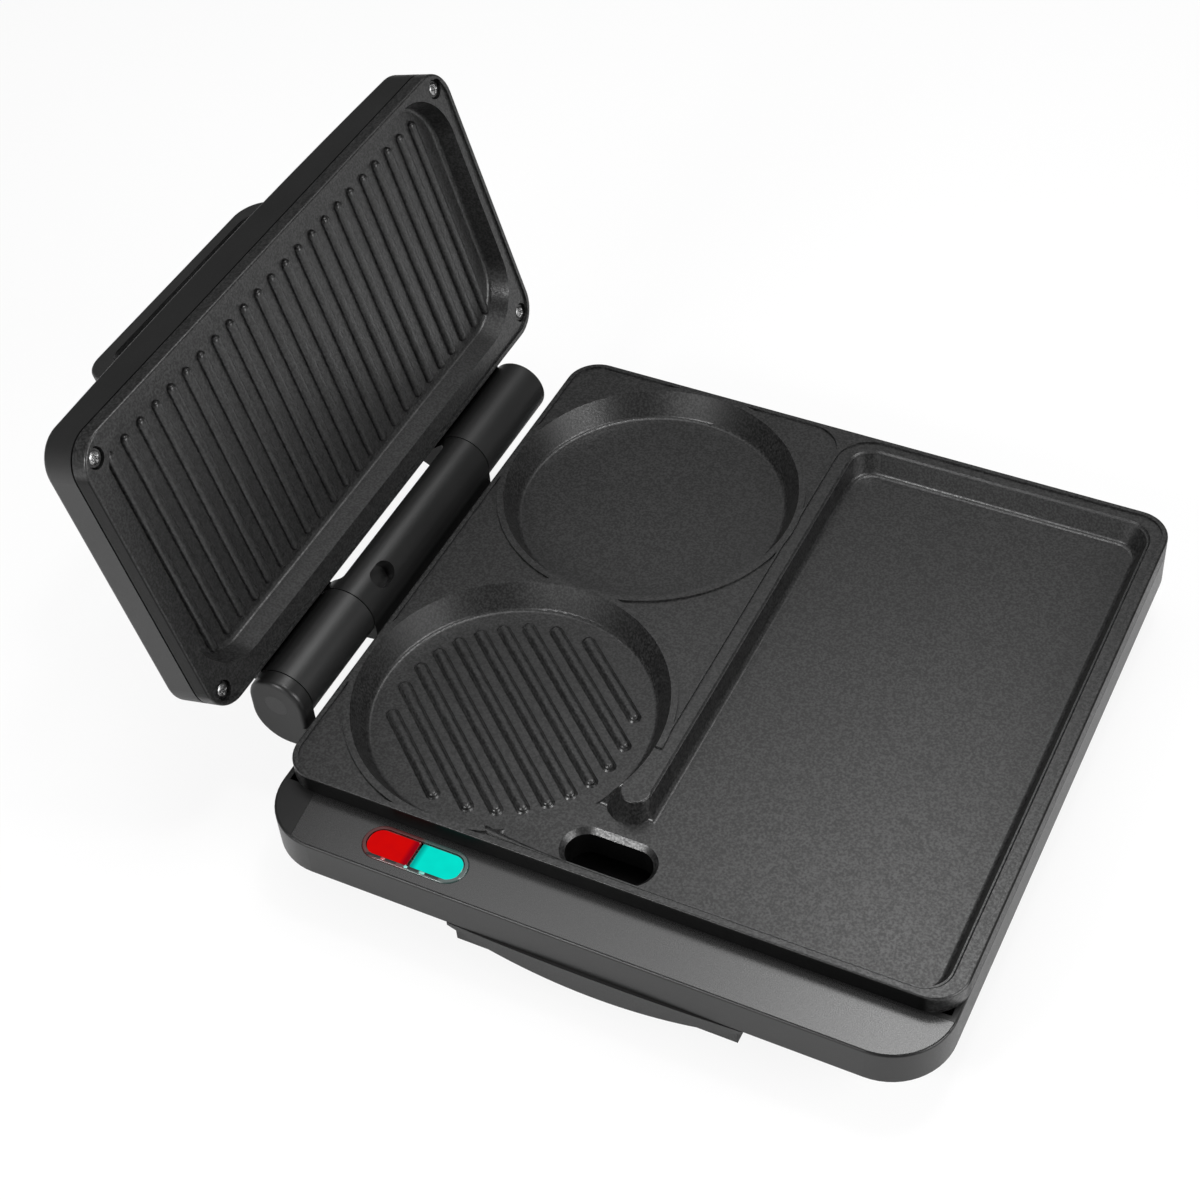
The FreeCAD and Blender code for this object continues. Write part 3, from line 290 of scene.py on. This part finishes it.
def glassFinish(name, look):
    sockets = {"Roughness": look["rough"], "IOR": look["bend"], "Transmission Weight": 1.0}
    material, tree, shader = newFinish(name, **sockets)
    cloud = grainOf(tree, coordsOf(tree), look["cloud"])
    colour = rampOf(tree, cloud, *noiseRange, look["dark"], look["light"])
    tree.links.new(colour, shader.inputs["Base Color"])
    return material


finishes = {
    "coat": coatFinish("plateCoat", coatLook),
    "housing": plasticFinish("housingPlastic", plasticLooks["housing"]),
    "lidShell": plasticFinish("lidShellPlastic", plasticLooks["lidShell"]),
    "barrelCap": plasticFinish("barrelCapPlastic", plasticLooks["barrelCap"]),
    "grip": plasticFinish("gripPlastic", plasticLooks["grip"]),
    "trim": plasticFinish("trimPanel", plasticLooks["trim"]),
    "tray": plasticFinish("trayPlastic", plasticLooks["tray"]),
    "underside": plasticFinish("undersidePlastic", plasticLooks["underside"]),
    "heatProof": plasticFinish("heatProofPlastic", plasticLooks["heatProof"]),
    "rubber": plasticFinish("footRubber", plasticLooks["rubber"]),
    "sleeve": plasticFinish("leadSleeve", plasticLooks["sleeve"]),
    "ceramic": plasticFinish("beadCeramic", plasticLooks["ceramic"]),
    "plated": metalFinish("platedSteel", metalLooks["plated"]),
    "black": metalFinish("blackSteel", metalLooks["black"]),
    "sheath": metalFinish("heaterSheath", metalLooks["sheath"], sheathTint),
    "bright": metalFinish("reflectorSheet", metalLooks["bright"]),
    "brass": metalFinish("brassScrew", metalLooks["brass"], brassTint),
    "redLens": lensFinish("redLens", lensLooks["red"]),
    "greenLens": lensFinish("greenLens", lensLooks["green"]),
    "surround": surroundFinish("lensSurround", surroundLook),
    "redRim": rimFinish("redRim", rimLooks["red"]),
    "greenRim": rimFinish("greenRim", rimLooks["green"]),
    "redLug": rimFinish("redLug", rimLooks["redLug"]),
    "greenLug": rimFinish("greenLug", rimLooks["greenLug"]),
    "screwFace": metalFinish("screwFace", metalLooks["screwFace"]),
    "slotShade": plasticFinish("lensSlotShade", plasticLooks["slotShade"]),
    "glass": glassFinish("lampGlass", glassLook),
}
nodeFinish = {
    "base_housing": "housing", "bottom_cover": "underside", "cover_screws": "plated", "feet": "rubber",
    "cooking_plate": "coat", "plate_screws": "plated", "front_panel": "trim", "lens_bezel": "surround",
    "red_lens": "redLens", "green_lens": "greenLens", "lamp_holder": "heatProof", "red_lamp": "glass",
    "green_lamp": "glass", "base_heater": "sheath", "heater_terminals": "ceramic", "base_reflector": "bright",
    "thermostat": "plated", "thermal_fuse": "ceramic", "terminal_block": "heatProof", "block_screws": "brass",
    "base_leads": "sleeve", "cord_inlet": "rubber", "cord_clamp": "heatProof", "clamp_screws": "plated",
    "tray_rails": "plated", "rail_screws": "plated", "hinge_pin": "plated", "hinge_cap": "barrelCap",
    "drip_tray": "tray", "lid_shell": "lidShell", "lid_plate": "coat", "lid_screws": "black",
    "lid_heater": "sheath", "lid_terminals": "ceramic", "lid_reflector": "bright", "lid_leads": "sleeve",
    "handle": "grip", "handle_screws": "plated",
}
for name, finish in nodeFinish.items():
    slots = nodes[name].data.materials
    slots.clear()
    slots.append(finishes[finish])
print("finishes laid on:", len(nodeFinish))


# own pieces: grids of points, rows of a profile by columns round a closed path
def gridPiece(name, grids, finish, body):
    points = np.concatenate([grid.reshape(-1, 3) for grid in grids])
    faces = []
    start = 0
    for grid in grids:
        rows, cols = grid.shape[:2]
        index = start + np.arange(rows * cols).reshape(rows, cols)
        turned = np.roll(index, -1, axis=1)
        faces.append(np.stack([index[:-1], turned[:-1], turned[1:], index[1:]], axis=-1).reshape(-1, 4))
        start += rows * cols
    mesh = bpy.data.meshes.new(name)
    mesh.from_pydata(points.tolist(), [], np.concatenate(faces).tolist())
    work = bmesh.new()
    work.from_mesh(mesh)
    bmesh.ops.remove_doubles(work, verts=work.verts, dist=1e-7)
    bmesh.ops.recalc_face_normals(work, faces=work.faces)
    work.to_mesh(mesh)
    work.free()
    mesh.polygons.foreach_set("use_smooth", np.ones(len(mesh.polygons), dtype=bool))
    mesh.materials.append(finishes[finish])
    piece = bpy.data.objects.new(name, mesh)
    bpy.context.scene.collection.objects.link(piece)
    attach(piece, body)
    return piece


# closed outline of four quarter circles joined by straight sides, counted from the front right corner
def softOutline(x0, x1, y0, y1, left, right, steps=14):
    turn = np.linspace(0, np.pi / 2, steps)
    corners = [(x1 - right, y0 + right, right, -np.pi / 2), (x1 - right, y1 - right, right, 0),
               (x0 + left, y1 - left, left, np.pi / 2), (x0 + left, y0 + left, left, np.pi)]
    return np.concatenate([np.stack([cx + r * np.cos(turn + a), cy + r * np.sin(turn + a)], axis=-1)
                           for cx, cy, r, a in corners])


# a stack of outlines: each row is the outline set in by its inset, at its height,
# and shrunk about its middle to its share
def stackedCap(outline, rows):
    layers = []
    for inset, height, share in rows:
        ring = outline(inset)
        middle = ring.mean(axis=0)
        ring = middle + (ring - middle) * share
        layers.append(np.concatenate([ring, np.full((len(ring), 1), height)], axis=1))
    return np.stack(layers)


# lens rim and block: edges are pairs of inset and drop, the block's as shares of its soft edge
lensParts = {"rimDrop": 0.0007, "rimCorner": 0.0004, "leastRound": 0.0002, "baseShare": 0.9,
             "rimEdge": ((0, 0.0005), (0.00008, 0.00022), (0.00025, 0.00006), (0.0005, 0), (0.0009, 0)),
             "sideInset": 0.0006, "frontInset": 0.0003, "backInset": 0.0007, "splitInset": 0.0002,
             "blockCorner": 0.0007, "endShare": 0.86, "blockSink": 0.0004, "blockStep": 0.0001,
             "softEdge": 0.0006, "blockEdge": ((0.13, 0.62), (0.5, 0.2), (1.0, 0.04), (1.6, 0.0))}


# half a capsule: round at its outer end, near square beside the split
def lensOutline(x0, x1, y0, y1, endRound, corner, splitOnRight, leastRound):
    rounds = (endRound, corner) if splitOnRight else (corner, endRound)

    def ring(inset):
        left, right = (max(r - inset, leastRound) for r in rounds)
        return softOutline(x0 + inset, x1 - inset, y0 + inset, y1 - inset, left, right)

    return ring


# rim and lit block of one lens, each a stack of half capsules; the rim stands for the lens node
def lensSet(colour, box, splitOnRight, spec):
    (x0, y0, z0), (x1, y1, z1) = box
    slot = colour + "_lens"
    rimTop = z1 - spec["rimDrop"]
    rimRows = [(0, z0, 0.0), (0, z0, spec["baseShare"]), (0, z0, 1.0)]
    rimRows += [(inset, rimTop - drop, 1.0) for inset, drop in spec["rimEdge"]]
    rimRows.append((spec["rimEdge"][-1][0], rimTop, 0.0))
    endRound = (y1 - y0) / 2
    outline = lensOutline(x0, x1, y0, y1, endRound, spec["rimCorner"], splitOnRight, spec["leastRound"])
    rim = gridPiece(colour + "LensRim", [stackedCap(outline, rimRows)], colour + "Rim", "base")

    insets = (spec["sideInset"], spec["splitInset"])
    leftInset, rightInset = insets if splitOnRight else insets[::-1]
    left, right = x0 + leftInset, x1 - rightInset
    front, back = y0 + spec["frontInset"], y1 - spec["backInset"]
    sunk = rimTop - spec["blockSink"]
    soft = spec["softEdge"]
    blockRows = [(0, sunk, 0.0), (0, sunk, 1.0), (0, rimTop + spec["blockStep"], 1.0)]
    blockRows += [(inset * soft, z1 - drop * soft, 1.0) for inset, drop in spec["blockEdge"]]
    blockRows.append((spec["blockEdge"][-1][0] * soft, z1, 0.0))
    endRound = (back - front) / 2 * spec["endShare"]
    outline = lensOutline(left, right, front, back, endRound, spec["blockCorner"], splitOnRight,
                          spec["leastRound"])
    gridPiece(colour + "LensBlock", [stackedCap(outline, blockRows)], colour + "Lens", "base")
    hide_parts(slot)


# superellipsoid: powers of the cosines and sines square off a ball into a soft-edged block
def softBlock(centre, half, power, rows=15, cols=28):
    def squared(v):
        return np.sign(v) * np.abs(v) ** power

    up = np.linspace(-np.pi / 2, np.pi / 2, rows)[:, None]
    turn = np.linspace(0, 2 * np.pi, cols, endpoint=False)[None, :]
    x = half[0] * squared(np.cos(up)) * squared(np.cos(turn))
    y = half[1] * squared(np.cos(up)) * squared(np.sin(turn))
    z = half[2] * squared(np.sin(up)) * np.ones_like(turn)
    return np.stack([x, y, z], axis=-1) + np.array(centre)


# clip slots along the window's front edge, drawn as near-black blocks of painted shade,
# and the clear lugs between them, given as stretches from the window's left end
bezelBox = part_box("lens_bezel")
clipLook = {"slots": {"red": ((0.0046, 0.0108), (0.0127, 0.0173)),
                      "green": ((0.0223, 0.0269), (0.0296, 0.0354))},
            "lugs": {"red": ((0.0108, 0.0125),),
                     "green": ((0.0207, 0.0221), (0.0271, 0.0294))},
            "slotHalf": 0.00055, "slotPower": 0.35, "lugHalf": 0.0006, "lugPower": 0.5,
            "fromEdge": 0.00115, "sink": 0.0001, "rise": 0.0002}


def clipBlocks(stretches, box, halfDepth, power, spec):
    left, front, top = box[0][0], box[0][1] + spec["fromEdge"], box[1][2] - spec["sink"]
    return [softBlock((left + (a + b) / 2, front, top), ((b - a) / 2, halfDepth, spec["rise"]), power)
            for a, b in stretches]


def lensClips(colour, box, spec):
    slots = clipBlocks(spec["slots"][colour], box, spec["slotHalf"], spec["slotPower"], spec)
    # painted shade: near-black blocks stand in for the shade inside the clip slots
    gridPiece(colour + "ClipSlotShade", slots, "slotShade", "base")
    lugs = clipBlocks(spec["lugs"][colour], box, spec["lugHalf"], spec["lugPower"], spec)
    gridPiece(colour + "ClipLugs", lugs, colour + "Lug", "base")


for colour, box, onRight in (("red", redBox, True), ("green", greenBox, False)):
    lensSet(colour, box, onRight, lensParts)
    lensClips(colour, bezelBox, clipLook)
print("lenses built")

# cross-recessed screw faces on the lid screws, drawn shut and swung open with the lid
lidSwing = {"axis": (-0.097435, 0.0475), "turn": 104.8, "left": -0.080435, "front": -0.1167, "seat": 0.047}
screwLook = {"inset": 0.0082, "width": 0.1295, "depth": 0.258, "face": 0.0024, "radius": 0.0027,
             "dome": 0.0008, "armHalf": 0.00045, "armSoft": 0.00012, "armReach": 0.0019, "reachSoft": 0.0002,
             "recess": 0.0007, "leastHeight": 0.00005, "firstTurn": 17, "nextTurn": 31}


# polar grid: the height is a shallow dome less a cross-shaped dip with soft walls
def crossFace(spec, rings=26, cols=96):
    r = np.linspace(0, 1, rings)[:, None] * spec["radius"]
    a = np.linspace(0, 2 * np.pi, cols, endpoint=False)[None, :]
    x, y = r * np.cos(a), r * np.sin(a)
    dome = spec["dome"] * (1 - (r / spec["radius"]) ** 2) ** 0.5 * np.ones_like(a)
    fromArm = np.minimum(np.abs(x), np.abs(y))
    dip = np.clip((spec["armHalf"] - fromArm) / spec["armSoft"], 0, 1)
    dip = dip * np.clip((spec["armReach"] - r) / spec["reachSoft"], 0, 1)
    top = np.stack([x, y, np.maximum(dome - spec["recess"] * dip, spec["leastHeight"])], axis=-1)
    base = np.stack([x, y, np.zeros_like(x)], axis=-1)[::-1]
    return np.concatenate([top, base])


# points of the shut lid turned about the hinge axis to where the open lid has them
def swungLid(points, spec):
    turn = math.radians(-spec["turn"])
    c, s = math.cos(turn), math.sin(turn)
    axisX, axisZ = spec["axis"]
    dx, dz = points[..., 0] - axisX, points[..., 2] - axisZ
    return np.stack([axisX + dx * c + dz * s, points[..., 1], axisZ - dx * s + dz * c], axis=-1)


def lidScrewFaces(spec, swing):
    face = crossFace(spec) * np.array([1, 1, -1])
    spots = [(x, y) for x in (spec["inset"], spec["width"] - spec["inset"])
             for y in (spec["inset"], spec["depth"] - spec["inset"])]
    grids = []
    for k, (x, y) in enumerate(spots):
        turn = math.radians(spec["firstTurn"] + spec["nextTurn"] * k)
        c, s = math.cos(turn), math.sin(turn)
        spun = face @ np.array([[c, s, 0], [-s, c, 0], [0, 0, 1]])
        spot = np.array([swing["left"] + x, swing["front"] + y, swing["seat"] + spec["face"]])
        grids.append(swungLid(spun + spot, swing))
    gridPiece("lidScrewFaces", grids, "screwFace", "lid")


lidScrewFaces(screwLook, lidSwing)
print("screw faces built")

# the front channel's wall runs out softly where the ribbed well's wall meets it
channelEnd = {"from": 0.0052, "to": 0.040, "reach": 0.0031, "foot": -0.1072, "shoulder": -0.1120,
              "back": -0.1131, "floor": 0.0359, "top": 0.04532, "deep": 0.034, "bend": 1.15}


# a wall profile carried along the channel: it rises with a power of the way up its slope,
# and its reach from the wall fades with the square of the way left to go
def channelRunOut(spec, columns=48, steps=12):
    way = np.linspace(0, 1, columns)
    reach = spec["reach"] * (1 - way) ** 2
    slope = np.linspace(0, 1, steps)
    rise = spec["floor"] + (spec["top"] - spec["floor"]) * slope ** spec["bend"]
    run = spec["foot"] + (spec["shoulder"] - spec["foot"]) * slope
    across = np.concatenate([run, [run[-1], spec["back"], spec["back"], run[0]]])
    height = np.concatenate([rise, [rise[-1], spec["top"], spec["deep"], spec["deep"]]])
    moved = np.concatenate([np.ones(steps), [1, 0, 0, 1]])
    x = (spec["from"] + (spec["to"] - spec["from"]) * way)[:, None] * np.ones(len(across))
    y = across[None, :] + moved[None, :] * reach[:, None]
    z = np.ones((columns, 1)) * height[None, :]
    wall = np.stack([x, y, z], axis=-1)
    ends = [np.repeat(row.mean(axis=0)[None, :], len(across), axis=0)[None] for row in (wall[0], wall[-1])]
    return np.concatenate([ends[0], wall, ends[1]])


gridPiece("channelRunOut", [channelRunOut(channelEnd)], "coat", "base")
print("channel run-out built")

# studio: pale floor, soft light, the photograph's camera
studio = {"floorSize": 6.0, "floorWhite": 0.86, "lift": 0.85, "zenith": 0.26, "horizon": 0.03}


def makeFloor(spec):
    half = spec["floorSize"] / 2
    corners = [(-half, -half, 0), (half, -half, 0), (half, half, 0), (-half, half, 0)]
    mesh = bpy.data.meshes.new("studioFloor")
    mesh.from_pydata(corners, [], [(0, 1, 2, 3)])
    floor = bpy.data.objects.new("studioFloor", mesh)
    bpy.context.scene.collection.objects.link(floor)
    material = bpy.data.materials.new("studioFloor")
    material.use_nodes = True
    tree = material.node_tree
    tree.nodes.clear()
    out = tree.nodes.new("ShaderNodeOutputMaterial")
    matt = addNode(tree, "ShaderNodeBsdfDiffuse", {"Color": grey(spec["floorWhite"])})
    glow = addNode(tree, "ShaderNodeEmission", {"Color": grey(1.0), "Strength": 1.0})
    path = tree.nodes.new("ShaderNodeLightPath")
    share = mathOf(tree, "MULTIPLY", path.outputs["Is Camera Ray"], spec["lift"])
    mix = addNode(tree, "ShaderNodeMixShader", {0: share, 1: matt.outputs[0], 2: glow.outputs[0]})
    tree.links.new(mix.outputs[0], out.inputs["Surface"])
    mesh.materials.append(material)


def makeWorld(spec):
    world = bpy.data.worlds.new("studioWorld")
    bpy.context.scene.world = world
    world.use_nodes = True
    tree = world.node_tree
    tree.nodes.clear()
    out = tree.nodes.new("ShaderNodeOutputWorld")
    path = tree.nodes.new("ShaderNodeLightPath")
    way = addNode(tree, "ShaderNodeTexCoord").outputs["Generated"]
    level = spread(tree, placeOf(tree, way)["Z"], 0.0, 1.0, spec["horizon"], spec["zenith"])
    soft = addNode(tree, "ShaderNodeBackground", {"Color": grey(1.0), "Strength": level})
    white = addNode(tree, "ShaderNodeBackground", {"Color": grey(1.0), "Strength": 1.0})
    sockets = {0: path.outputs["Is Camera Ray"], 1: soft.outputs[0], 2: white.outputs[0]}
    mix = addNode(tree, "ShaderNodeMixShader", sockets)
    tree.links.new(mix.outputs[0], out.inputs["Surface"])


lampAim = (0.02, 0.0, 0.06)
lamps = {
    "skyPanel": {"at": (-0.21, 0.25, 1.15), "size": (0.92, 0.8), "power": 3.8},
    "stripPanel": {"at": (0.14, 0.43, 1.05), "size": (0.5, 0.22), "power": 2.3},
    "keyPanel": {"at": (1.10, -0.10, 0.55), "size": (0.8, 0.5), "power": 11.0},
    "frontPanel": {"at": (-0.32, -0.95, 0.72), "size": (0.34, 0.24), "power": 8.0},
    "topPanel": {"at": (0.20, 0.08, 1.05), "size": (0.12, 0.12), "power": 1.9},
    "backPanel": {"at": (0.0, 0.80, 1.05), "size": (0.30, 0.20), "power": 0.25},
    "frontCard": {"at": (-0.35, -1.35, 0.40), "size": (1.5, 0.7), "power": 4.5},
}


def makeLamp(name, spec):
    light = bpy.data.lights.new(name, "AREA")
    light.shape = "RECTANGLE"
    light.size, light.size_y = spec["size"]
    light.energy = spec["power"]
    lamp = bpy.data.objects.new(name, light)
    bpy.context.scene.collection.objects.link(lamp)
    lamp.location = spec["at"]
    aim = Vector(lampAim) - Vector(spec["at"])
    lamp.rotation_euler = aim.to_track_quat("-Z", "Y").to_euler()


view = {"at": (0.31802, -0.54349, 0.71329), "turn": (44.1864, 2.7842, 25.3248), "lens": 68.846,
        "sensor": 36.0, "shift": (-0.05, -0.01667), "clipStart": 0.01}


def makeCamera(spec):
    data = bpy.data.cameras.new("viewCamera")
    data.sensor_width = spec["sensor"]
    data.lens = spec["lens"]
    data.shift_x, data.shift_y = spec["shift"]
    data.clip_start = spec["clipStart"]
    camera = bpy.data.objects.new("viewCamera", data)
    bpy.context.scene.collection.objects.link(camera)
    camera.location = spec["at"]
    camera.rotation_euler = Euler([math.radians(a) for a in spec["turn"]], "XYZ")
    bpy.context.scene.camera = camera


makeFloor(studio)
makeWorld(studio)
for name, spec in lamps.items():
    makeLamp(name, spec)
makeCamera(view)
bpy.context.scene.view_settings.view_transform = "Standard"
print("studio ready")
